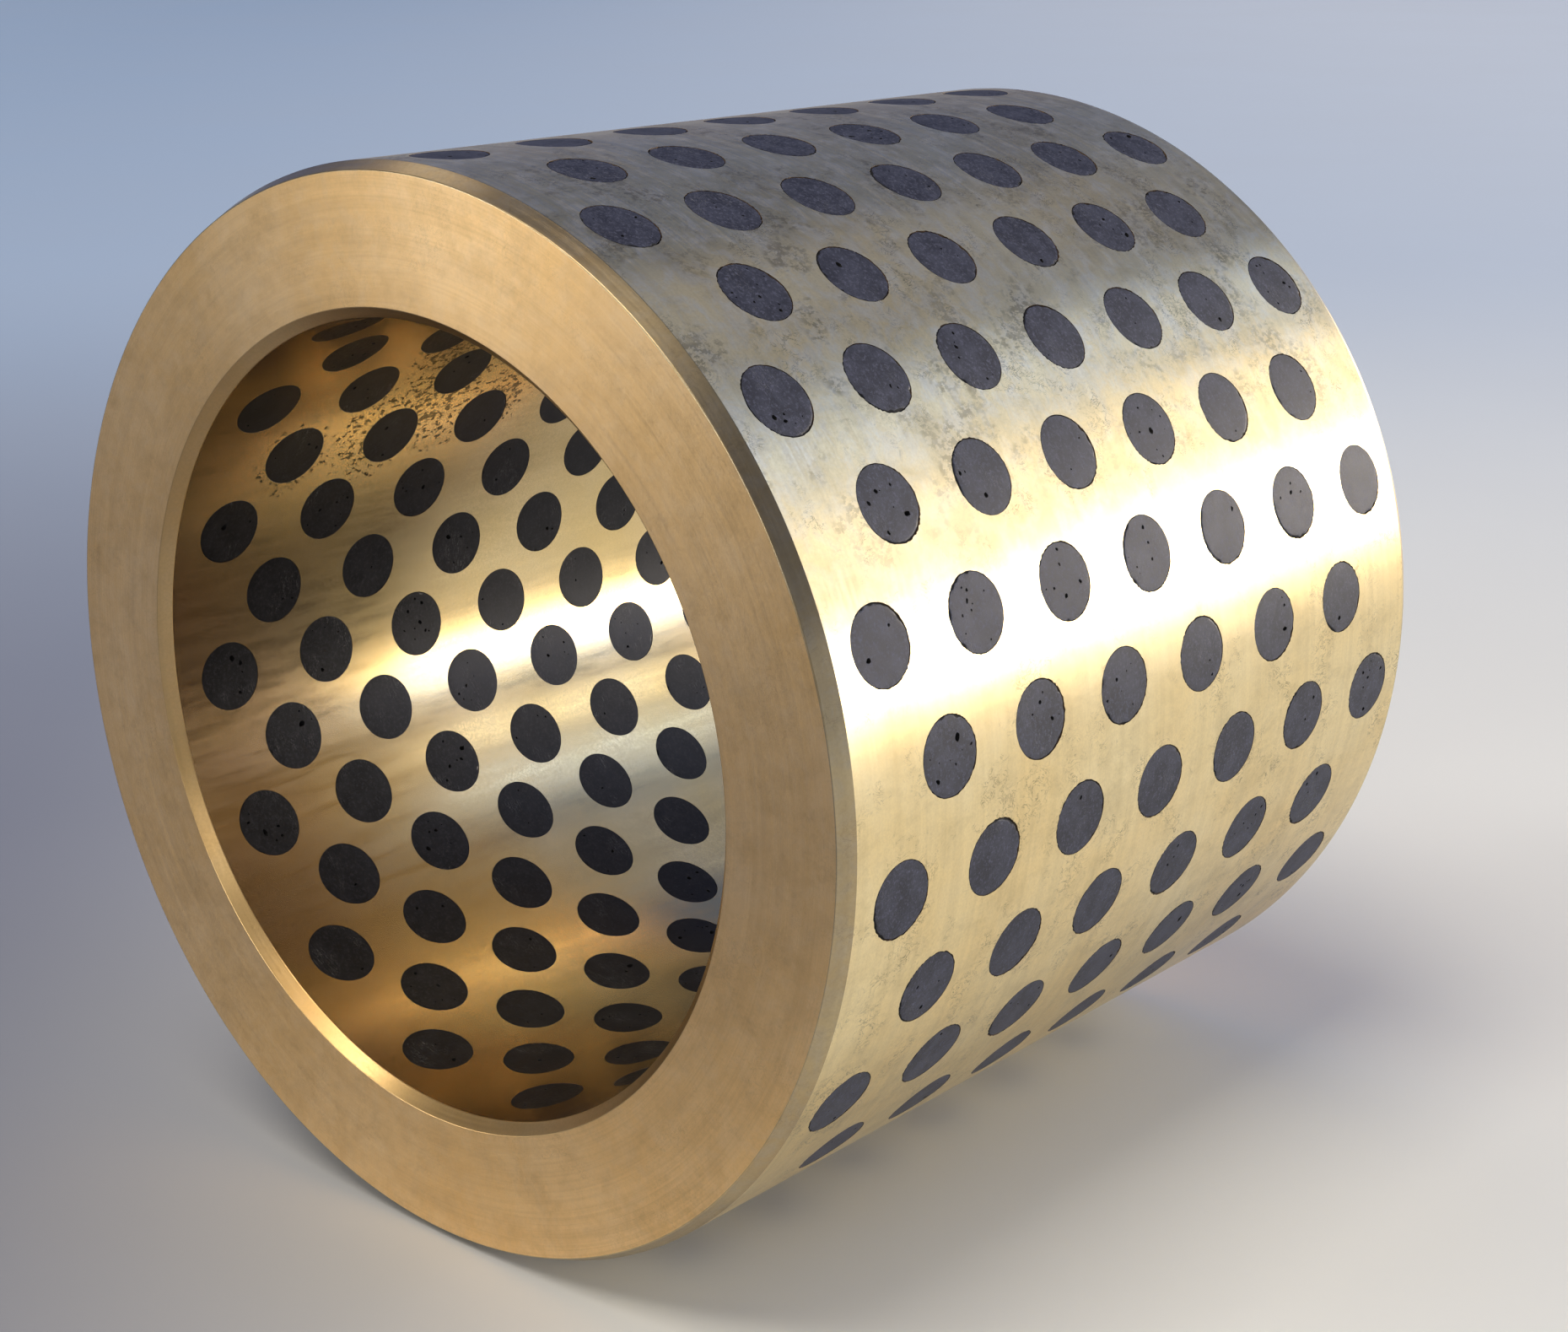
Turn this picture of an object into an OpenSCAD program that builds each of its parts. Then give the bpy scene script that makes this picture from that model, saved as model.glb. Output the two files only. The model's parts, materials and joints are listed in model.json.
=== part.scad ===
// Straight bronze sleeve bushing with solid-lubricant plugs set through its wall.
// The sleeve lies on its side: the bore's axis is Y, +Z is up and the origin is the
// middle of the bore. Plug row 1 runs along the top, and the rows count round
// towards +X. Every plug ends flush with the outside and with the bore.

/* [Sleeve] */
// Diameter of the bore that the shaft turns in
bore_d = 110; // [100:1:200]
// Thickness of the wall between the bore and the outside
wall_t = 20; // [8:1:40]
// Length of the sleeve from face to face
sleeve_l = 132; // [120:1:240]

/* [Edge chamfers] */
// Length along the axis of the lead-in chamfer round the outside
outer_chamfer_l = 2.3; // [0.5:0.1:4]
// Depth of the lead-in chamfer round the outside
outer_chamfer_t = 1.1; // [0.3:0.1:3]
// Length along the axis of the chamfer round the bore
bore_chamfer_l = 1.6; // [0.5:0.1:4]
// Depth of the chamfer round the bore
bore_chamfer_t = 1.5; // [0.3:0.1:3]

/* [Lubricant plugs] */
// Diameter of each plug and of the hole it is glued into
plug_d = 10.2; // [6:0.1:11]
// Number of plugs in each odd row; an even row has one fewer, set half a pitch along
plugs_per_row = 7; // [2:1:7]
// Distance from a face to the centre of the nearest plug
end_margin = 11; // [10:0.5:16]

/* [Hidden] */
row_count = 30;
row_angle = 360 / row_count;
plug_pitch = (sleeve_l - 2 * end_margin) / (plugs_per_row - 1);
bore_r = bore_d / 2;
outer_r = bore_r + wall_t;
// A drill starts this far inside the bore and ends this far outside the sleeve
drill_overrun = 1;
bronze = [0.80, 0.64, 0.38];
graphite = [0.22, 0.22, 0.26];
$fn = 180;

function row_name(row) = str("plug_row_", row < 10 ? "0" : "", row);
function plugs_in(row) = plugs_per_row - (row % 2 == 1 ? 0 : 1);

// Turns a solid of revolution about Z so that its axis is Y
module along_y() {
    rotate([-90, 0, 0]) children();
}

// Plain wall with its four chamfered edges, before it is drilled
module turned_wall() {
    end_y = sleeve_l / 2;
    half_section = [
        [bore_r, end_y - bore_chamfer_l],
        [bore_r + bore_chamfer_t, end_y],
        [outer_r - outer_chamfer_t, end_y],
        [outer_r, end_y - outer_chamfer_l],
        [outer_r, outer_chamfer_l - end_y],
        [outer_r - outer_chamfer_t, -end_y],
        [bore_r + bore_chamfer_t, -end_y],
        [bore_r, bore_chamfer_l - end_y]
    ];
    along_y() rotate_extrude() polygon(half_section);
}

// Round rods through the wall at every plug position of one row
module row_rods(row) {
    count = plugs_in(row);
    rotate([0, (row - 1) * row_angle, 0])
        for (i = [0 : count - 1])
            translate([0, (i - (count - 1) / 2) * plug_pitch, bore_r - drill_overrun])
                cylinder(d = plug_d, h = wall_t + 2 * drill_overrun);
}

// Full-length tube between the bore and the outside, which gives each plug its curved ends
module plug_envelope() {
    along_y() difference() {
        cylinder(r = outer_r, h = sleeve_l, center = true);
        cylinder(r = bore_r, h = sleeve_l + 2 * drill_overrun, center = true);
    }
}

// Turned bronze sleeve, drilled radially for every plug
module sleeve() {
    color(bronze) difference() {
        turned_wall();
        for (row = [1 : row_count])
            row_rods(row);
    }
}

// One row of graphite plugs along the sleeve, machined flush at both ends
module plug_row(row) {
    color(graphite) intersection() {
        row_rods(row);
        plug_envelope();
    }
}

sleeve();
for (row = [1 : row_count])
    plug_row(row);
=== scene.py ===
"""Looks of a bronze sleeve bushing: a finely turned sleeve with graphite plugs flush in its wall."""
import json
import math
import random

import bmesh
import bpy
import numpy as np
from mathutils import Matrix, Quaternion, Vector
from mathutils.geometry import delaunay_2d_cdt


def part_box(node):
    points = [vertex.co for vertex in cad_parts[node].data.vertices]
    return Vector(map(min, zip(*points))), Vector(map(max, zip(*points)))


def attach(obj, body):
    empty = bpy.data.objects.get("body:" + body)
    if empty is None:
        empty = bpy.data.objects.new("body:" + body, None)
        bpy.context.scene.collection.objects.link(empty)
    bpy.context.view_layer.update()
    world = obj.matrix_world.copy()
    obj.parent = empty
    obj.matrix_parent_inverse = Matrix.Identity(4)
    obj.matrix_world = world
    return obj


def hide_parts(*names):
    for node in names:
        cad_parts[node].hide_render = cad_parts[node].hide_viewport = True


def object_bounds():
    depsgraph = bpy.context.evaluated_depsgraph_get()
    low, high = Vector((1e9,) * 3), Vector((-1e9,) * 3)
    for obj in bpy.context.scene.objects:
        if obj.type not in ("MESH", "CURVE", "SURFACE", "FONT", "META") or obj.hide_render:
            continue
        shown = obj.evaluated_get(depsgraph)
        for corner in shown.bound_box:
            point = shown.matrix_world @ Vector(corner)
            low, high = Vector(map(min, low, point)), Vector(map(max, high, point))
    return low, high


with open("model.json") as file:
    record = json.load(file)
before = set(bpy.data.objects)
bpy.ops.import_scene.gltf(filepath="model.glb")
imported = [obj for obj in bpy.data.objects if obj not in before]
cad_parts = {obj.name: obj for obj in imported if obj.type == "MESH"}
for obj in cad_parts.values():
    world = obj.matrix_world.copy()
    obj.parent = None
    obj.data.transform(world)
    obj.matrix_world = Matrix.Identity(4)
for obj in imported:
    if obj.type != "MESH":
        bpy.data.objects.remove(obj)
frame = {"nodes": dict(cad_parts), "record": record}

MM = 0.001

# ---------------------------------------------------------------- sizes, read from the frame
cad_low, cad_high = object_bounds()
mounts = {mount["name"]: mount["dims"] for mount in frame["record"]["mounts"]}
outer_r = (cad_high.x - cad_low.x) / 2
length = cad_high.y - cad_low.y
bore_r = mounts["bore"]["r_mm"] * MM
bore_length = mounts["bore"]["length_mm"] * MM
seat_length = mounts["housing_seat"]["length_mm"] * MM

row_nodes = sorted(name for name in frame["nodes"] if name.startswith("plug_row_"))
row_angle = 2 * math.pi / len(row_nodes)
first_low, first_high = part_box(row_nodes[0])
plug_r = (first_high.x - first_low.x) / 2
LONG_ROW_PLUGS = 7
pitch = (first_high.y - first_low.y - 2 * plug_r) / (LONG_ROW_PLUGS - 1)

# Depths that the record doesn't hold, and the small roundings of a machined edge
OUTER_CHAMFER_DEPTH = 1.1 * MM
BORE_CHAMFER_DEPTH = 1.5 * MM
EDGE_ROUNDING = 0.22 * MM

# Material slots of the sleeve, and of the plugs
OUTSIDE, BORE, FACES, OUTER_CHAMFERS, HOLES, BORE_CHAMFERS = range(6)
OUTER_END, SHADED_HOLLOWS, BORE_END = range(3)

# ---------------------------------------------------------------- mesh density
ANGLE_STEPS = 20                  # quads across one plug row, round the sleeve
PITCH_STEPS = 28                  # quads along one plug pitch, an even number
LOOP_STEPS = 2 * (ANGLE_STEPS + PITCH_STEPS)
MERGE_DISTANCE = 0.002 * MM


class MeshBuilder:
    """Collects grids and triangles, and joins them into one closed object."""

    def __init__(self):
        self.points = []
        self.faces = []
        self.slots = []

    def add_points(self, points):
        start = len(self.points)
        self.points.extend(points)
        return start

    def add_grid(self, rows, closed, slot=0):
        """rows is a list of equally long lists of points. A closed grid joins each row's ends."""
        width = len(rows[0])
        start = self.add_points([point for row in rows for point in row])
        for i in range(len(rows) - 1):
            for j in range(width if closed else width - 1):
                here = start + i * width
                after = (j + 1) % width
                self.faces.append((here + j, here + after, here + width + after, here + width + j))
                self.slots.append(slot)

    def add_triangles(self, points, triangles, slot=0):
        start = self.add_points(points)
        for triangle in triangles:
            self.faces.append(tuple(start + index for index in triangle))
            self.slots.append(slot)

    def build(self, name, materials, smooth_angle):
        mesh = bpy.data.meshes.new(name)
        mesh.from_pydata(self.points, [], self.faces)
        mesh.polygons.foreach_set("material_index", self.slots)
        work = bmesh.new()
        work.from_mesh(mesh)
        bmesh.ops.remove_doubles(work, verts=work.verts, dist=MERGE_DISTANCE)
        bmesh.ops.recalc_face_normals(work, faces=work.faces)
        for face in work.faces:
            face.smooth = True
        work.to_mesh(mesh)
        work.free()
        mesh.set_sharp_from_angle(angle=math.radians(smooth_angle))
        for material in materials:
            mesh.materials.append(material)
        piece = bpy.data.objects.new(name, mesh)
        bpy.context.scene.collection.objects.link(piece)
        return piece


def around(angle, tangential, y, radial):
    """A point beside the radial line at that angle from the top, counted towards +X."""
    sine, cosine = math.sin(angle), math.cos(angle)
    return (tangential * cosine + radial * sine, y, radial * cosine - tangential * sine)


def on_cylinder(angle, tangential, y, radius, sink=0.0):
    return around(angle, tangential, y, math.sqrt(radius * radius - tangential * tangential) - sink)


# ---------------------------------------------------------------- the turned end profile
def rounded_profile(corners, radius, steps):
    """Replaces each inner corner of an outline of (r, y) points by an arc. The two end points go."""
    outline = []
    for before, corner, after in zip(corners, corners[1:], corners[2:]):
        corner = Vector(corner)
        to_before = (Vector(before) - corner).normalized()
        to_after = (Vector(after) - corner).normalized()
        half_angle = to_before.angle(to_after) / 2
        reach = radius / math.tan(half_angle)
        centre = corner + (to_before + to_after).normalized() * radius / math.sin(half_angle)
        start = corner + to_before * reach - centre
        end = corner + to_after * reach - centre
        sweep = start.angle(end)
        for i in range(steps + 1):
            t = i / steps
            spoke = (start * math.sin((1 - t) * sweep) + end * math.sin(t * sweep)) / math.sin(sweep)
            outline.append(tuple(centre + spoke))
    return outline


ARC_STEPS = 4
LONGEST_END_QUAD = 1.6 * MM
SMALLEST_CONE_QUAD = 0.2 * MM * MM    # the quads of the rounded edges are smaller than this
end_outline = rounded_profile(
    [
        (outer_r, 0),
        (outer_r, seat_length / 2),
        (outer_r - OUTER_CHAMFER_DEPTH, length / 2),
        (bore_r + BORE_CHAMFER_DEPTH, length / 2),
        (bore_r, bore_length / 2),
        (bore_r, 0),
    ],
    EDGE_ROUNDING,
    ARC_STEPS,
)
outer_end_y = end_outline[0][1]
bore_end_y = end_outline[-1][1]


def subdivided(outline, longest):
    """Splits the outline's long stretches, so that the quads on the faces stay well shaped."""
    points = [outline[0]]
    for start, end in zip(outline, outline[1:]):
        count = max(1, math.ceil(math.dist(start, end) / longest))
        for i in range(1, count + 1):
            t = i / count
            points.append((start[0] + (end[0] - start[0]) * t, start[1] + (end[1] - start[1]) * t))
    return points


# ---------------------------------------------------------------- plug holes in the sleeve's wall
def plug_positions(row):
    """Y of each plug in a row. Even-numbered rows here are the long ones."""
    count = LONG_ROW_PLUGS - row % 2
    return [(i - (count - 1) / 2) * pitch for i in range(count)]


def stations(end_y):
    """Y of every grid line along the sleeve, with each plug pitch divided alike."""
    reach = (LONG_ROW_PLUGS - 1) * pitch / 2
    middle = np.linspace(-reach, reach, (LONG_ROW_PLUGS - 1) * PITCH_STEPS + 1)
    half = PITCH_STEPS // 2
    front = np.linspace(-end_y, -reach, half + 1)[:-1]
    return [float(y) for y in (*front, *middle, *-front[::-1])]


angle_stations = [(i / ANGLE_STEPS - 0.5) * row_angle for i in range(ANGLE_STEPS + 1)]


def cell_boundary(first, station_ys):
    """The rectangle round one plug as a closed loop of (angle, y), from its station of that number on."""
    ys = station_ys[first:first + PITCH_STEPS + 1]
    loop = [(angle, ys[0]) for angle in angle_stations[:-1]]
    loop += [(angle_stations[-1], y) for y in ys[:-1]]
    loop += [(angle, ys[-1]) for angle in angle_stations[:0:-1]]
    loop += [(angle_stations[0], y) for y in ys[:0:-1]]
    return loop


RIM_SERRATION = 0.09 * MM         # how far the drilled edge wanders in and out on the outside
BORE_SERRATION = 0.02 * MM
RIM_CLEARANCE = 0.01 * MM
RIM_DEPTH = 0.3 * MM              # the serrated edge fades into the round hole at this depth


def wall_cell(builder, row, plug_y, first, rng):
    """The wall round one plug: the outside, the hole and the bore's side of it, as one closed strip."""
    angle = row * row_angle

    def rings(station_ys, radius, serration, fractions):
        sign = 1 if radius == outer_r else -1
        rough_side = rng.uniform(0, 2 * math.pi)
        loops = [[] for _ in range(len(fractions) + 2)]
        for cell_angle, y in cell_boundary(first, station_ys):
            x, dy = radius * math.sin(cell_angle), y - plug_y
            direction = math.atan2(dy, x)
            cosine, sine = math.cos(direction), math.sin(direction)
            ragged = serration * (0.6 + 0.4 * math.cos(direction - rough_side))
            rim = plug_r + RIM_CLEARANCE + rng.uniform(0, 2 * ragged)
            for loop, fraction in zip(loops, fractions):
                px = x + (rim * cosine - x) * fraction
                py = dy + (rim * sine - dy) * fraction
                loop.append(on_cylinder(angle, px, plug_y + py, radius))
            for loop, reach, depth in ((loops[-2], rim, RIM_DEPTH / 2), (loops[-1], plug_r, RIM_DEPTH)):
                px, py = reach * cosine, reach * sine
                loop.append(on_cylinder(angle, px, plug_y + py, radius, sign * depth))
        return loops

    outside = rings(outer_stations, outer_r, RIM_SERRATION, (0, 0.4, 0.8, 1))
    inside = rings(bore_stations, bore_r, BORE_SERRATION, (0, 0.6, 1))
    builder.add_grid(outside[:4], closed=True, slot=OUTSIDE)
    builder.add_grid(outside[3:] + inside[:1:-1], closed=True, slot=HOLES)
    builder.add_grid(inside[:3], closed=True, slot=BORE)


def plain_strip(builder, row, station_ys, radius, slot):
    """The undrilled end of a short row."""
    rows = []
    for y in station_ys:
        rows.append([around(row * row_angle + angle, 0, y, radius) for angle in angle_stations])
    builder.add_grid(rows, closed=False, slot=slot)


outer_stations = stations(outer_end_y)
bore_stations = stations(bore_end_y)


def make_sleeve(materials):
    builder = MeshBuilder()
    rng = random.Random(11)
    half = PITCH_STEPS // 2
    for row in range(len(row_nodes)):
        offset = (row % 2) * half
        for i, plug_y in enumerate(plug_positions(row)):
            wall_cell(builder, row, plug_y, offset + i * PITCH_STEPS, rng)
        if row % 2:
            for station_ys, radius, slot in (
                (outer_stations, outer_r, OUTSIDE),
                (bore_stations, bore_r, BORE),
            ):
                plain_strip(builder, row, station_ys[:half + 1], radius, slot)
                plain_strip(builder, row, station_ys[-half - 1:], radius, slot)
    steps = len(row_nodes) * ANGLE_STEPS
    face_start = 2 * ARC_STEPS + 1
    outlines = ((end_outline[:face_start + 1], OUTER_CHAMFERS),
                (end_outline[face_start:face_start + 2], FACES),
                (end_outline[face_start + 1:], BORE_CHAMFERS))
    for side in (-1, 1):
        for outline, slot in outlines:
            loops = []
            for radius, y in subdivided(outline, LONGEST_END_QUAD):
                loops.append([around((i / ANGLE_STEPS - 0.5) * row_angle, 0, side * y, radius)
                              for i in range(steps)])
            builder.add_grid(loops, closed=True, slot=slot)
    sleeve = builder.build("bronze_sleeve", materials, smooth_angle=40)
    set_turned_normals(sleeve.data)
    return sleeve


def set_turned_normals(mesh):
    """Gives the turned surfaces a body of revolution's normals, so that gloss runs over them evenly."""
    normals = [corner.vector.copy() for corner in mesh.corner_normals]
    for polygon in mesh.polygons:
        slot, tilt = polygon.material_index, polygon.normal.y
        if slot in (OUTSIDE, BORE):
            tilt = 0.0
        elif slot == FACES:
            tilt = math.copysign(1.0, tilt)
        elif slot == HOLES or polygon.area < SMALLEST_CONE_QUAD:
            continue
        normal, centre = polygon.normal, polygon.center
        facing = normal.x * centre.x + normal.z * centre.z
        outwards = math.copysign(math.sqrt(1 - tilt * tilt), facing)
        for loop, vertex in zip(polygon.loop_indices, polygon.vertices):
            x, _, z = mesh.vertices[vertex].co
            share = outwards / math.hypot(x, z)
            normals[loop] = Vector((x * share, tilt, z * share))
    mesh.normals_split_custom_set(normals)


# ---------------------------------------------------------------- graphite plugs
FACE_SINK = 0.015 * MM            # the plug's end lies this far under the bronze
EDGE_CHIP = 0.11 * MM             # usual width of the crumbled edge on the outside
BORE_EDGE_CHIP = 0.05 * MM        # and in the bore, which is machined with the plugs in place
EDGE_DEPTH = 0.22 * MM
BAND = 0.5 * MM                   # ring of quads between the edge and the middle of the face
GRAIN_SPACING = 1.3 * MM          # between the points that divide the middle of the face
PORES_PER_END = (0, 1, 2, 2, 3, 4, 6, 9)
LARGEST_PORE = 0.42               # radius in millimetres, before the pore is stretched
PORE_CORNERS = 10


def random_pit(rng):
    """Outline of one pore: its centre, its points relative to the centre, and its longer radius."""
    size = min(LARGEST_PORE, rng.lognormvariate(-1.75, 0.45)) * MM
    reach = math.sqrt(rng.random()) * (plug_r - BAND - size * 1.8)
    bearing = rng.uniform(0, 2 * math.pi)
    stretch = rng.uniform(1.0, 1.6)
    lean = rng.uniform(0, math.pi)
    outline = []
    for i in range(PORE_CORNERS):
        a = 2 * math.pi * i / PORE_CORNERS
        r = size * rng.uniform(0.75, 1.15)
        u, v = r * math.cos(a) * stretch, r * math.sin(a)
        outline.append((u * math.cos(lean) - v * math.sin(lean), u * math.sin(lean) + v * math.cos(lean)))
    centre = Vector((reach * math.cos(bearing), reach * math.sin(bearing)))
    return centre, outline, size * stretch


def random_pits(rng):
    pits = []
    for _ in range(rng.choice(PORES_PER_END)):
        centre, outline, size = random_pit(rng)
        if all((centre - other).length > (size + other_size) * 1.4 for other, _, other_size in pits):
            pits.append((centre, outline, size))
    return pits


def edge_widths(chip, rng):
    """Width of the crumbled edge at each step round a plug: wider on one side, with chips mostly there."""
    gap_side = rng.uniform(0, 2 * math.pi)
    gap_width = rng.choice((0.3, 0.6, 1.0, 1.7)) * chip
    chips = [(gap_side + rng.gauss(0, 0.9), rng.uniform(0.035, 0.10), rng.uniform(0.8, 3.6) * chip)
             for _ in range(rng.choice((1, 2, 3, 4, 6)))]
    widths = []
    for i in range(LOOP_STEPS):
        a = 2 * math.pi * i / LOOP_STEPS
        width = chip * rng.uniform(0.2, 1.2)
        width += gap_width * max(0.0, math.cos(a - gap_side)) ** 3 * rng.uniform(0.5, 1.2)
        for chip_angle, spread, depth in chips:
            away = math.remainder(a - chip_angle, 2 * math.pi)
            width += depth * math.exp(-(away / spread) ** 2)
        widths.append(min(width, 0.8 * BAND))
    return widths


def plug_face(builder, angle, plug_y, radius, sign, rng):
    """One end of a plug on the cylinder of that radius, and the loop where its side begins."""
    def place(x, y, sink):
        return on_cylinder(angle, x, plug_y + y, radius, sign * (FACE_SINK + sink))

    widths = edge_widths(EDGE_CHIP if sign > 0 else BORE_EDGE_CHIP, rng)
    directions = [2 * math.pi * i / LOOP_STEPS for i in range(LOOP_STEPS)]
    side = [place(plug_r * math.cos(a), plug_r * math.sin(a), EDGE_DEPTH) for a in directions]
    crumbled = []
    for a, width in zip(directions, widths):
        r = plug_r - width * 0.35
        crumbled.append(place(r * math.cos(a), r * math.sin(a), EDGE_DEPTH * 0.45))
    edge = [place((plug_r - width) * math.cos(a), (plug_r - width) * math.sin(a), 0.01 * MM)
            for a, width in zip(directions, widths)]
    middle_r = plug_r - BAND
    ring = [(middle_r * math.cos(a), middle_r * math.sin(a)) for a in directions]
    face_slot = OUTER_END if sign > 0 else BORE_END
    # The crumbled edge takes the near-black pore graphite, as painted shade.
    builder.add_grid([side, crumbled, edge], closed=True, slot=SHADED_HOLLOWS)
    builder.add_grid([edge, [place(x, y, 0) for x, y in ring]], closed=True, slot=face_slot)

    pits = random_pits(rng)
    flat = [Vector(point) for point in ring]
    edges = [(i, (i + 1) % LOOP_STEPS) for i in range(LOOP_STEPS)]
    for centre, outline, _ in pits:
        start = len(flat)
        flat += [centre + Vector(point) for point in outline]
        edges += [(start + i, start + (i + 1) % len(outline)) for i in range(len(outline))]
    steps = int(middle_r / GRAIN_SPACING) + 1
    for i in range(-steps, steps + 1):
        for j in range(-steps, steps + 1):
            point = Vector((i + j / 2, j * 0.866)) * GRAIN_SPACING
            if point.length > middle_r - GRAIN_SPACING / 2:
                continue
            if all((point - centre).length > size * 1.5 for centre, _, size in pits):
                flat.append(point)
    points, _, triangles, _, _, _ = delaunay_2d_cdt(flat, edges, [], 0, 1e-8)
    kept = []
    for triangle in triangles:
        centroid = sum((points[i] for i in triangle), Vector((0, 0))) / 3
        if not any(inside_pit(centroid, pit) for pit in pits):
            kept.append(triangle)
    builder.add_triangles([place(point.x, point.y, 0) for point in points], kept, slot=face_slot)
    # Each pore's walls take the near-black graphite, as painted shade.
    for centre, outline, size in pits:
        loops = []
        for share, depth in ((1, 0), (0.82, 0.7), (0.5, 1.3), (0.02, 1.5)):
            loops.append([place(centre.x + x * share, centre.y + y * share, size * depth)
                          for x, y in outline])
        builder.add_grid(loops, closed=True, slot=SHADED_HOLLOWS)
    return side


def inside_pit(point, pit):
    centre, outline, size = pit
    offset = point - centre
    if offset.length > size * 1.3:
        return False
    inside = False
    for (ax, ay), (bx, by) in zip(outline, outline[1:] + outline[:1]):
        if (ay > offset.y) != (by > offset.y) and offset.x < ax + (offset.y - ay) * (bx - ax) / (by - ay):
            inside = not inside
    return inside


def make_plug_row(row, materials):
    builder = MeshBuilder()
    rng = random.Random(400 + row)
    angle = row * row_angle
    for plug_y in plug_positions(row):
        outside = plug_face(builder, angle, plug_y, outer_r, 1, rng)
        inside = plug_face(builder, angle, plug_y, bore_r, -1, rng)
        builder.add_grid([outside, inside], closed=True)
    return builder.build(f"graphite_row_{row + 1:02d}", materials, smooth_angle=35)


# ---------------------------------------------------------------- material helpers
class Shader:
    """A node material with one Principled shader, and short calls for the nodes that feed it."""

    def __init__(self, name):
        self.material = bpy.data.materials.new(name)
        self.material.use_nodes = True
        self.tree = self.material.node_tree
        self.tree.nodes.clear()
        self.principled = self.node("ShaderNodeBsdfPrincipled")
        output = self.node("ShaderNodeOutputMaterial")
        self.tree.links.new(self.principled.outputs["BSDF"], output.inputs["Surface"])
        self.position = self.node("ShaderNodeTexCoord").outputs["Object"]

    def node(self, kind, **values):
        made = self.tree.nodes.new(kind)
        for name, value in values.items():
            setattr(made, name, value)
        return made

    def feed(self, socket, value):
        if isinstance(value, bpy.types.NodeSocket):
            self.tree.links.new(value, socket)
        else:
            socket.default_value = value

    def along(self, direction):
        """How far a point lies in that direction."""
        made = self.node("ShaderNodeVectorMath", operation="DOT_PRODUCT")
        self.feed(made.inputs[0], self.position)
        made.inputs[1].default_value = direction
        return made.outputs["Value"]

    def math(self, operation, a, b=0.0, clamp=False):
        made = self.node("ShaderNodeMath", operation=operation, use_clamp=clamp)
        self.feed(made.inputs[0], a)
        self.feed(made.inputs[1], b)
        return made.outputs[0]

    def stretched(self, scale):
        made = self.node("ShaderNodeMapping")
        self.feed(made.inputs["Vector"], self.position)
        made.inputs["Scale"].default_value = scale
        return made.outputs["Vector"]

    def ring_vector(self, across, along):
        """Coordinates that run finely outwards from the Y axis and coarsely round it."""
        split = self.node("ShaderNodeSeparateXYZ")
        self.feed(split.inputs[0], self.position)
        x, z = split.outputs["X"], split.outputs["Z"]
        squares = self.math("ADD", self.math("MULTIPLY", x, x), self.math("MULTIPLY", z, z))
        radius = self.math("SQRT", squares)
        join = self.node("ShaderNodeCombineXYZ")
        self.feed(join.inputs["X"], self.math("MULTIPLY", x, along))
        self.feed(join.inputs["Y"], self.math("MULTIPLY", radius, across))
        self.feed(join.inputs["Z"], self.math("MULTIPLY", z, along))
        return join.outputs[0]

    def noise(self, vector, scale, detail=3.0, roughness=0.55, distortion=0.0):
        made = self.node("ShaderNodeTexNoise")
        self.feed(made.inputs["Vector"], vector)
        made.inputs["Scale"].default_value = scale
        made.inputs["Detail"].default_value = detail
        made.inputs["Roughness"].default_value = roughness
        made.inputs["Distortion"].default_value = distortion
        return made.outputs["Fac"]

    def remap(self, value, low, high, to_low=0.0, to_high=1.0, interpolation="LINEAR"):
        made = self.node("ShaderNodeMapRange", interpolation_type=interpolation)
        self.feed(made.inputs["Value"], value)
        made.inputs["From Min"].default_value = low
        made.inputs["From Max"].default_value = high
        made.inputs["To Min"].default_value = to_low
        made.inputs["To Max"].default_value = to_high
        return made.outputs["Result"]

    def smooth(self, value, low, high):
        return self.remap(value, low, high, interpolation="SMOOTHSTEP")

    def mix(self, factor, a, b):
        made = self.node("ShaderNodeMix", data_type="RGBA")
        self.feed(made.inputs[0], factor)
        self.feed(made.inputs[6], a if isinstance(a, bpy.types.NodeSocket) else (*a, 1))
        self.feed(made.inputs[7], b if isinstance(b, bpy.types.NodeSocket) else (*b, 1))
        return made.outputs[2]

    def bump(self, height, distance, under=None):
        made = self.node("ShaderNodeBump")
        self.feed(made.inputs["Height"], height)
        made.inputs["Distance"].default_value = distance
        if under:
            self.feed(made.inputs["Normal"], under)
        return made.outputs["Normal"]

    def set(self, **sockets):
        for name, value in sockets.items():
            self.feed(self.principled.inputs[name.replace("_", " ")], value)


# ---------------------------------------------------------------- bronze
STAIN = (0.05, 0.04, 0.035)
# Brown at both ends of the bore: partly tarnish, partly painted shade.
END_BROWN_AND_SHADE = (0.38, 0.22, 0.14)
END_TARNISH_AND_SHADE_REACH = 42 * MM


def scaled(colour, factor):
    return tuple(factor * channel for channel in colour)


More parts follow.
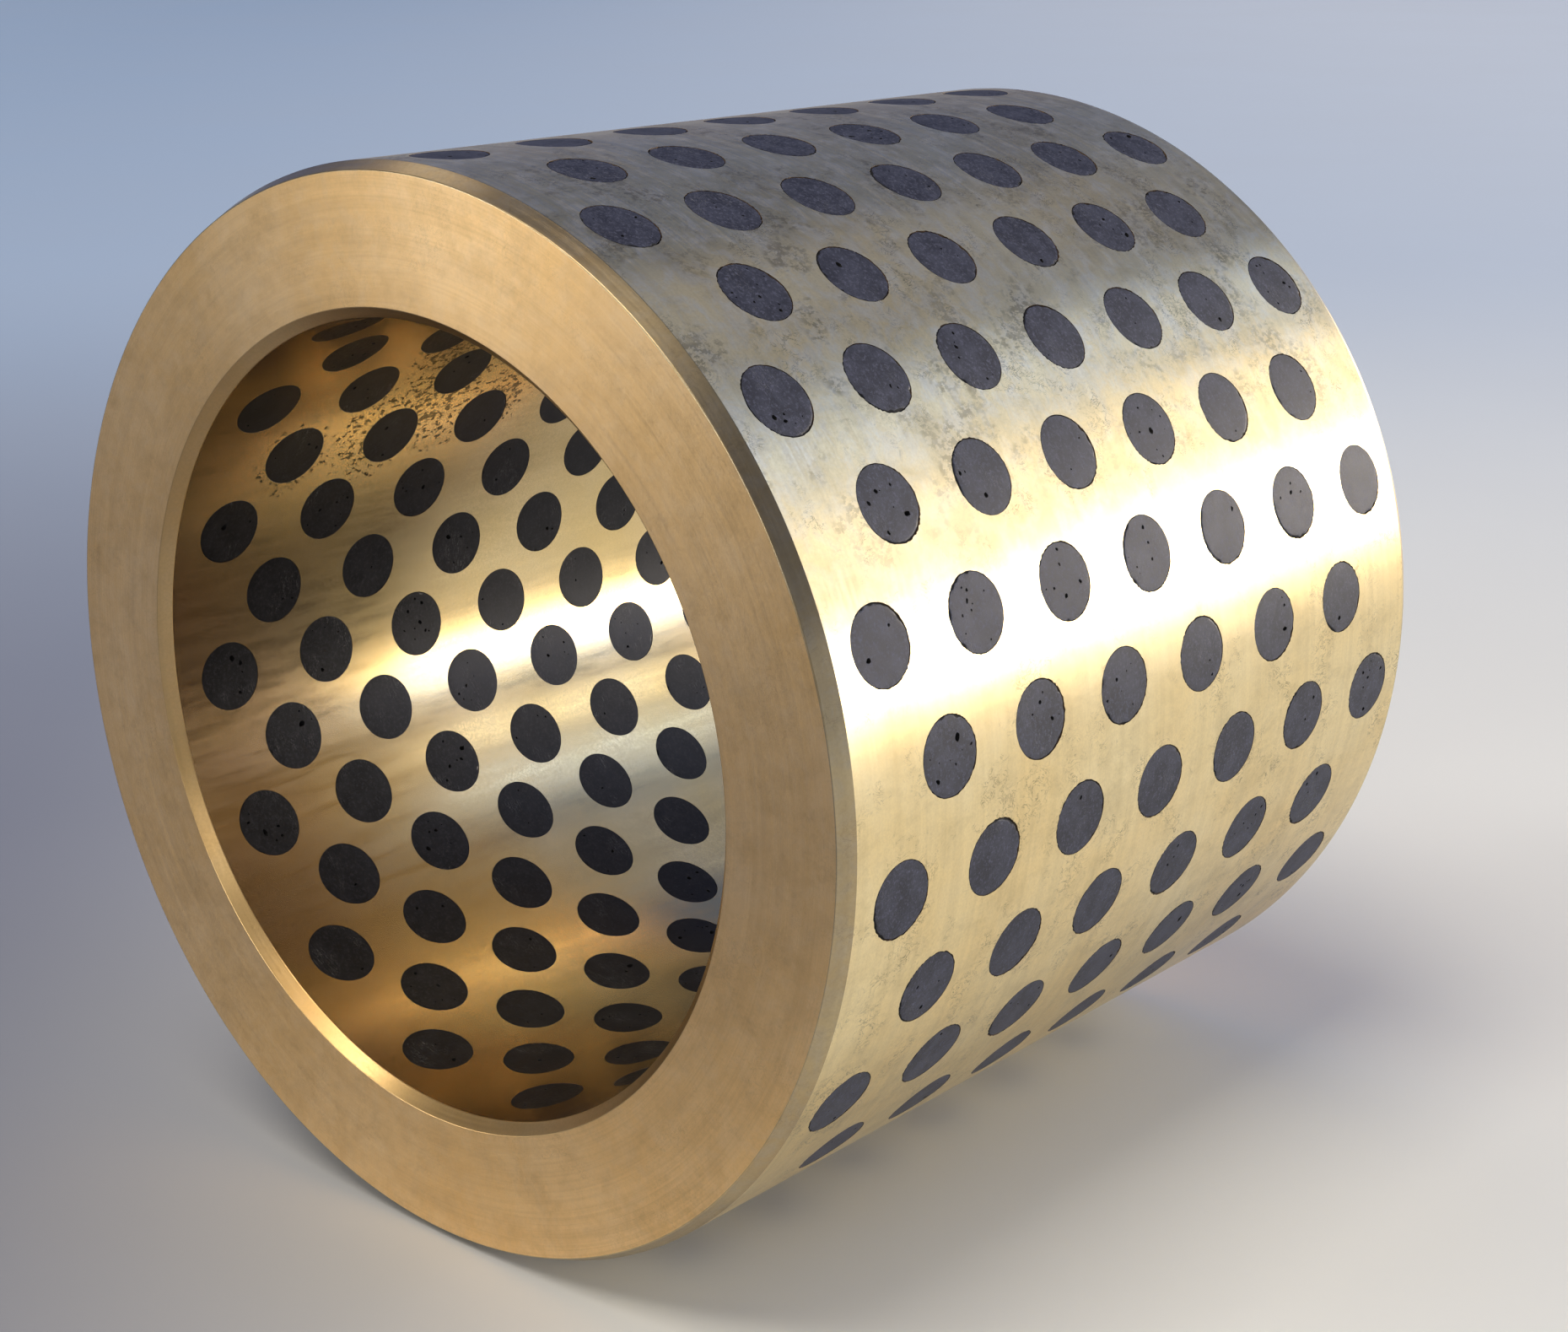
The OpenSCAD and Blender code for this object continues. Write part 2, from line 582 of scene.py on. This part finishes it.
def bronze(name, gold, pale, silver, lines, line_depth, roughness, anisotropy, film, tarnish, smears,
           grime, smoothest=0.28, roughest=1.0, cleaner_below=1.0, line_contrast=0.0, end_tarnish_and_shade=0.0,
           stain_spots=()):
    """Turned bronze. lines gives the coordinate that the tool marks follow, at one line per unit.

    film, tarnish, smears and grime are the strongest cover that each reaches, from 0 to 1.
    smoothest and roughest are the limits of the roughness. A surface that crosses 0.27 renders speckled.
    cleaner_below is how much of the film and dirt is left on the lower side, and end_tarnish_and_shade is
    how far the metal turns brown at both ends of the sleeve: partly tarnish, partly painted shade.
    """
    brown = scaled(gold, 0.55)
    shader = Shader(name)
    # Film and dirt are strongest on the upper side, and fall to cleaner_below of that on the lower side.
    top_share = shader.remap(shader.along((0, 0, 1)), 0.2 * outer_r, 0.7 * outer_r, cleaner_below, 1)
    broad = shader.noise(shader.position, 42, detail=2)
    patches = shader.noise(shader.position, 330, detail=5, roughness=0.66, distortion=0.5)
    blotches = shader.noise(shader.stretched((1.2, 0.7, 1.2)), 150, detail=7, roughness=0.70,
                            distortion=0.3)
    grain = shader.noise(shader.position, 2600, detail=2, roughness=0.6)
    marks = shader.noise(lines(shader), 1.0, detail=2, roughness=0.6)
    far_marks = shader.noise(lines(shader), 0.23, detail=3, roughness=0.6)

    colour = shader.mix(shader.remap(broad, 0.35, 0.65), gold, pale)
    film_amount = shader.math("MULTIPLY", shader.remap(patches, 0.44, 0.62),
                              shader.math("MULTIPLY", top_share, film))
    colour = shader.mix(film_amount, colour, silver)
    tarnish_amount = shader.math("MULTIPLY", shader.remap(blotches, 0.46, 0.72), tarnish)
    colour = shader.mix(tarnish_amount, colour, brown)
    colour = shader.mix(shader.remap(far_marks, 0.42, 0.62, 0, 0.16), colour, brown)
    colour = shader.mix(shader.remap(marks, 0.45, 0.65, 0, line_contrast), colour, brown)

    # Thin curling smears of graphite, in clusters, and dirtier places
    curls = shader.noise(shader.stretched((1, 0.7, 1)), 620, detail=5, roughness=0.70, distortion=0.8)
    off_centre = shader.math("ABSOLUTE", shader.math("SUBTRACT", curls, 0.5))
    zones = shader.noise(shader.position, 130, detail=4, roughness=0.65)
    smear_amount = shader.math("MULTIPLY", shader.remap(off_centre, 0.022, 0.006),
                               shader.remap(zones, 0.50, 0.64))
    smear_amount = shader.math("MULTIPLY", smear_amount, smears)
    dirt = shader.noise(shader.stretched((1.2, 0.8, 1.2)), 1000, detail=4, roughness=0.65)
    places = shader.noise(shader.position, 105, detail=4, roughness=0.65)
    dirty = shader.math("MULTIPLY", shader.remap(places, 0.52, 0.64),
                        shader.math("MULTIPLY", top_share, grime))
    dirt_amount = shader.math("MULTIPLY", shader.remap(dirt, 0.48, 0.54), dirty)
    stained = shader.math("MAXIMUM", smear_amount, dirt_amount)

    # Dark specks round each stain spot, thinning out with the distance
    specks = shader.noise(shader.stretched((1, 0.7, 1)), 1300, detail=3, roughness=0.65)
    for centre, reach in stain_spots:
        offset = shader.node("ShaderNodeVectorMath", operation="DISTANCE")
        shader.feed(offset.inputs[0], shader.position)
        offset.inputs[1].default_value = centre
        near = shader.remap(offset.outputs["Value"], reach, 0.3 * reach)
        dirty = shader.math("MAXIMUM", dirty, near)
        threshold = shader.remap(near, 0, 1, 0.62, 0.50)
        speckled = shader.math("MULTIPLY", shader.math("SUBTRACT", specks, threshold), 25.0, clamp=True)
        speckled = shader.math("MULTIPLY", speckled, shader.remap(near, 0, 0.2))
        stained = shader.math("MAXIMUM", stained, speckled)

    # Both ends turn brown over the end reach: partly tarnish, partly painted shade.
    if end_tarnish_and_shade:
        from_end = shader.math("SUBTRACT", length / 2, shader.math("ABSOLUTE", shader.along((0, 1, 0))))
        browned_and_shaded = shader.math("MULTIPLY", shader.smooth(from_end, END_TARNISH_AND_SHADE_REACH, 0.0), end_tarnish_and_shade)
        browned_and_shaded = shader.math("MULTIPLY", browned_and_shaded, shader.remap(broad, 0.30, 0.60, 0.7, 1.0))
        colour = shader.mix(browned_and_shaded, colour, END_BROWN_AND_SHADE)
    colour = shader.mix(stained, colour, STAIN)
    colour = shader.mix(shader.math("MULTIPLY", dirty, 0.35), colour, brown)
    colour = shader.mix(shader.remap(grain, 0.35, 0.68, 0, 0.16), colour, brown)

    rough = shader.math("ADD", shader.remap(grain, 0.3, 0.7, -0.03, 0.03), roughness)
    rough = shader.math("ADD", rough, shader.math("MULTIPLY", film_amount, 0.08))
    rough = shader.math("ADD", rough, shader.math("MULTIPLY", stained, 0.06))
    rough = shader.math("ADD", rough, shader.remap(marks, 0.3, 0.7, -0.04, 0.04))
    rough = shader.math("MINIMUM", shader.math("MAXIMUM", rough, smoothest), roughest)

    normal = shader.bump(marks, line_depth)
    normal = shader.bump(grain, 0.0012 * MM, under=normal)
    tangent = shader.node("ShaderNodeTangent", direction_type="RADIAL", axis="Y")
    shader.set(Base_Color=colour, Metallic=1.0, Roughness=rough, Normal=normal,
               Anisotropic=anisotropy, Anisotropic_Rotation=0.25, Tangent=tangent.outputs[0])
    return shader.material


def dusted_and_shaded_edge(name):
    """The drilled wall that shows round each plug: bronze stained brown by graphite dust, and dark as
    painted shade in the gap round the plug.
    """
    shader = Shader(name)
    dust = shader.noise(shader.position, 2400, detail=3)
    colour = shader.mix(shader.remap(dust, 0.35, 0.65), (0.05, 0.035, 0.03), (0.20, 0.12, 0.06))
    shader.set(Base_Color=colour, Metallic=0.4, Roughness=shader.remap(dust, 0.3, 0.7, 0.55, 0.75))
    return shader.material


def turned_lines(shader):
    return shader.stretched((40, 2600, 40))


def honed_lines(shader):
    return shader.stretched((600, 60, 600))


def faced_lines(shader):
    return shader.ring_vector(across=2400, along=40)


# ---------------------------------------------------------------- graphite
def graphite(name, dark, light, roughness, specular=0.35):
    shader = Shader(name)
    cloud = shader.noise(shader.position, 300, detail=5, roughness=0.62)
    grain = shader.noise(shader.position, 1900, detail=4, roughness=0.75)
    specks = shader.noise(shader.position, 4200, detail=1)
    scratches = shader.noise(shader.stretched((1, 5, 1)), 500, detail=3, distortion=0.9)
    line = shader.math("ABSOLUTE", shader.math("SUBTRACT", scratches, 0.5))
    where = shader.noise(shader.position, 160, detail=2)
    colour = shader.mix(shader.remap(cloud, 0.41, 0.61), dark, light)
    colour = shader.mix(shader.remap(grain, 0.50, 0.72, 0, 0.9), colour, scaled(light, 2.6))
    colour = shader.mix(shader.remap(specks, 0.36, 0.27, 0, 0.8), colour, (0.010, 0.010, 0.011))
    scratched = shader.math("MULTIPLY", shader.remap(line, 0.008, 0.002, 0, 0.5),
                            shader.remap(where, 0.55, 0.65))
    colour = shader.mix(scratched, colour, (0.30, 0.30, 0.31))
    rough = shader.math("ADD", shader.remap(grain, 0.3, 0.7, -0.10, 0.10), roughness)
    normal = shader.bump(grain, 0.012 * MM)
    shader.set(Base_Color=colour, Metallic=0.0, Roughness=rough, Normal=normal,
               Specular_IOR_Level=specular)
    return shader.material


# ---------------------------------------------------------------- the object
# Dirty places in the bore: where each lies, and how far it reaches
BORE_STAINS = [
    (on_cylinder(math.radians(angle), 0, y * MM, bore_r), reach * MM)
    for angle, y, reach in ((306, -20, 13), (301, -31, 10), (299, -46, 8), (304, -6, 8), (318, -24, 9),
                            (122, 18, 12), (96, -30, 9))
]
outer_bronze = bronze(
    "bronze_outside", gold=(0.96, 0.75, 0.38), pale=(0.97, 0.81, 0.47), silver=(0.91, 0.86, 0.70),
    lines=turned_lines, line_depth=0.0030 * MM, roughness=0.30, anisotropy=0.50,
    film=0.55, tarnish=0.42, smears=0.60, grime=0.50, cleaner_below=0.12)
bore_bronze = bronze(
    "bronze_bore", gold=(0.82, 0.62, 0.28), pale=(0.86, 0.68, 0.36), silver=(0.78, 0.70, 0.50),
    lines=honed_lines, line_depth=0.0004 * MM, roughness=0.245, anisotropy=0.30,
    film=0.06, tarnish=0.10, smears=0.0, grime=0.06, smoothest=0.15, roughest=0.268,
    end_tarnish_and_shade=0.80, stain_spots=BORE_STAINS)
face_bronze = bronze(
    "bronze_faces", gold=(0.91, 0.60, 0.265), pale=(0.96, 0.67, 0.34), silver=(0.82, 0.69, 0.49),
    lines=faced_lines, line_depth=0.0036 * MM, roughness=0.36, anisotropy=0.45,
    film=0.15, tarnish=0.40, smears=0.20, grime=0.10, line_contrast=0.22)
bore_chamfer_bronze = bronze(
    "bronze_bore_chamfers", gold=(0.72, 0.47, 0.20), pale=(0.78, 0.54, 0.25), silver=(0.66, 0.52, 0.36),
    lines=turned_lines, line_depth=0.0003 * MM, roughness=0.32, anisotropy=0.30,
    film=0.10, tarnish=0.10, smears=0.0, grime=0.0)
# The outer chamfers: the outside's bronze painted about half as bright, as painted shade.
shaded_outer_chamfer_bronze = bronze(
    "bronze_outer_chamfers_shaded", gold=(0.48, 0.36, 0.20), pale=(0.52, 0.42, 0.25), silver=(0.42, 0.40, 0.35),
    lines=turned_lines, line_depth=0.0004 * MM, roughness=0.30, anisotropy=0.30,
    film=0.30, tarnish=0.25, smears=0.25, grime=0.10)
hole_bronze_shaded = dusted_and_shaded_edge("bronze_hole_edges_shaded")
plug_graphite = graphite("graphite", (0.020, 0.021, 0.034), (0.040, 0.043, 0.066), 0.55)
# The plugs' bore ends: the same graphite painted about five times darker, as painted shade inside the
# bore.
shaded_bore_graphite = graphite("graphite_in_bore_shaded", (0.004, 0.004, 0.006), (0.009, 0.009, 0.012), 0.38,
                         specular=0.22)
# Near-black graphite for the pores and the crumbled edge round each plug end: painted shade in these
# hollows.
pore_shade_graphite = graphite("graphite_pores_shaded", (0.004, 0.004, 0.005), (0.008, 0.008, 0.009), 0.8)

sleeve = make_sleeve([outer_bronze, bore_bronze, face_bronze, shaded_outer_chamfer_bronze, hole_bronze_shaded,
                      bore_chamfer_bronze])
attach(sleeve, "root")
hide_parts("sleeve")
for row, node in enumerate(row_nodes):
    piece = make_plug_row(row, [plug_graphite, pore_shade_graphite, shaded_bore_graphite])
    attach(piece, "root")
    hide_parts(node)


# ---------------------------------------------------------------- floor, light and camera
# Colours of the floor near the object and far behind it, as the camera sees its left and right: painted
# shade, dark on the left and far off, pale on the right near the object
NEAR_LEFT, NEAR_RIGHT = (0.215, 0.240, 0.330), (0.93, 0.96, 0.96)
FAR_LEFT, FAR_RIGHT = (0.35, 0.49, 0.72), (0.64, 0.74, 0.90)
TO_THE_RIGHT, AWAY = (0.75, 0.66, 0.0), (-0.66, 0.75, 0.0)
FLOOR_REACH = 14.0
FADE_START = 2.5                  # the floor fades into the backdrop from this distance on


def make_floor():
    mesh = bpy.data.meshes.new("floor")
    reach, z = FLOOR_REACH, cad_low.z
    mesh.from_pydata([(-reach, -reach, z), (reach, -reach, z), (reach, reach, z), (-reach, reach, z)], [],
                     [(0, 1, 2, 3)])
    floor = bpy.data.objects.new("floor", mesh)
    bpy.context.scene.collection.objects.link(floor)
    shader = Shader("pale_floor_painted_shade")
    # Painted shade: the floor darkens towards the camera's left and into the distance.
    right = shader.along(TO_THE_RIGHT)
    near = shader.mix(shader.smooth(right, -0.17, 0.08), NEAR_LEFT, NEAR_RIGHT)
    far = shader.mix(shader.smooth(right, -0.8, 0.8), FAR_LEFT, FAR_RIGHT)
    colour = shader.mix(shader.smooth(shader.along(AWAY), 0.05, 0.9), near, far)
    mottle = shader.noise(shader.position, 6, detail=3)
    colour = shader.mix(shader.remap(mottle, 0.3, 0.7, 0, 0.06), colour, (0.5, 0.52, 0.58))
    distance = shader.node("ShaderNodeVectorMath", operation="LENGTH")
    shader.feed(distance.inputs[0], shader.position)
    shader.set(Base_Color=colour, Roughness=0.8,
               Alpha=shader.smooth(distance.outputs["Value"], FLOOR_REACH, FADE_START))
    mesh.materials.append(shader.material)


SOFTBOX_DISTANCE = 12.0


def softbox(name, direction, size, radiance, colour):
    """A rectangular light that faces the object. Its size is a share of its distance.

    The camera doesn't see it, but the metal mirrors it.
    """
    data = bpy.data.lights.new(name, "AREA")
    data.shape = "RECTANGLE"
    data.size, data.size_y = size[0] * SOFTBOX_DISTANCE, size[1] * SOFTBOX_DISTANCE
    data.energy = radiance * math.pi * data.size * data.size_y
    data.color = colour
    light = bpy.data.objects.new(name, data)
    towards = Vector(direction).normalized()
    light.location = towards * SOFTBOX_DISTANCE
    light.rotation_mode = "QUATERNION"
    light.rotation_quaternion = towards.to_track_quat("Z", "Y")
    light.visible_camera = False
    bpy.context.scene.collection.objects.link(light)


BACK_SKY = (0.10, 0.14, 0.29)
FRONT_ROOM = (0.200, 0.195, 0.185)
HORIZON = (0.42, 0.46, 0.53)


def make_world():
    """A dim room, bluish behind the object and neutral in front, with a pale band round the horizon."""
    world = bpy.data.worlds.new("studio")
    world.use_nodes = True
    tree = world.node_tree

    def ramp(value, low, high, low_colour, high_colour):
        share = tree.nodes.new("ShaderNodeMapRange")
        share.inputs["From Min"].default_value = low
        share.inputs["From Max"].default_value = high
        blend = tree.nodes.new("ShaderNodeMix")
        blend.data_type = "RGBA"
        tree.links.new(value, share.inputs["Value"])
        tree.links.new(share.outputs["Result"], blend.inputs[0])
        for socket, colour in ((blend.inputs[6], low_colour), (blend.inputs[7], high_colour)):
            if isinstance(colour, bpy.types.NodeSocket):
                tree.links.new(colour, socket)
            else:
                socket.default_value = (*colour, 1)
        return blend.outputs[2]

    split = tree.nodes.new("ShaderNodeSeparateXYZ")
    tree.links.new(tree.nodes.new("ShaderNodeTexCoord").outputs["Generated"], split.inputs[0])
    room = ramp(split.outputs["Y"], -0.4, 0.5, FRONT_ROOM, BACK_SKY)
    surroundings = ramp(split.outputs["Z"], 0.01, 0.09, HORIZON, room)
    tree.links.new(surroundings, tree.nodes["Background"].inputs["Color"])
    bpy.context.scene.world = world


CAMERA_AZIMUTH = 41.60            # degrees from the sleeve's axis
CAMERA_ELEVATION = 17.13
CAMERA_ROLL = -0.54
CAMERA_DISTANCE = 0.3986
CAMERA_AIM = (0.0054, 0.0023, -0.0059)
CAMERA_LENS = 60.64               # millimetres on a 36 mm sensor


def make_camera():
    data = bpy.data.cameras.new("camera")
    data.lens = CAMERA_LENS
    data.sensor_width = 36
    data.clip_start = 0.01
    data.clip_end = 60
    camera = bpy.data.objects.new("camera", data)
    azimuth, elevation = math.radians(CAMERA_AZIMUTH), math.radians(CAMERA_ELEVATION)
    back = Vector((math.sin(azimuth) * math.cos(elevation), -math.cos(azimuth) * math.cos(elevation),
                   math.sin(elevation)))
    camera.rotation_mode = "QUATERNION"
    roll = Quaternion((0, 0, 1), math.radians(CAMERA_ROLL))
    camera.rotation_quaternion = back.to_track_quat("Z", "Y") @ roll
    camera.location = Vector(CAMERA_AIM) + back * CAMERA_DISTANCE
    bpy.context.scene.collection.objects.link(camera)
    bpy.context.scene.camera = camera


WARM, WHITE = (1.0, 0.82, 0.57), (1.0, 0.97, 0.92)
# Name, direction from the object, width and height, radiance, and colour of each light
SOFTBOXES = (
    ("window_low", (0.60, 0.79, 0.03), (0.60, 0.08), 15.0, (1.0, 0.86, 0.65)),
    ("window_middle", (0.60, 0.79, 0.12), (0.60, 0.08), 7.6, (0.38, 0.53, 1.0)),
    ("window_high", (0.57, 0.79, 0.40), (0.60, 0.10), 2.2, WHITE),
    ("sky", (0.40, 0.76, 0.56), (0.53, 0.13), 2.0, (0.57, 0.69, 1.0)),
    ("sky_high", (0.05, 0.73, 0.72), (0.47, 0.17), 0.36, WHITE),
    ("behind_low", (0.16, 0.97, 0.06), (0.48, 0.10), 52.0, (1.0, 0.86, 0.66)),
    ("behind", (0.08, 0.97, 0.20), (0.17, 0.13), 7.0, WHITE),
    ("above_left", (-0.68, 0.14, 0.72), (0.40, 0.33), 1.15, WARM),
    ("above", (0.0, -0.40, 0.95), (0.53, 0.40), 6.8, (1.0, 0.88, 0.70)),
    ("side", (0.92, 0.15, 0.20), (0.47, 0.23), 1.25, (0.74, 0.83, 1.0)),
    ("front_low", (-0.66, -0.74, 0.11), (0.20, 0.17), 12.0, WHITE),
    ("front", (-0.15, -0.95, 0.20), (0.40, 0.23), 5.6, WHITE),
    ("front_right", (0.45, -0.80, 0.35), (0.40, 0.30), 1.2, WHITE),
    ("front_high", (-0.35, -0.60, 0.72), (0.22, 0.14), 8.0, (1.0, 0.93, 0.78)),
)
make_floor()
make_world()
for settings in SOFTBOXES:
    softbox(*settings)
make_camera()
bpy.context.scene.view_settings.view_transform = "Standard"
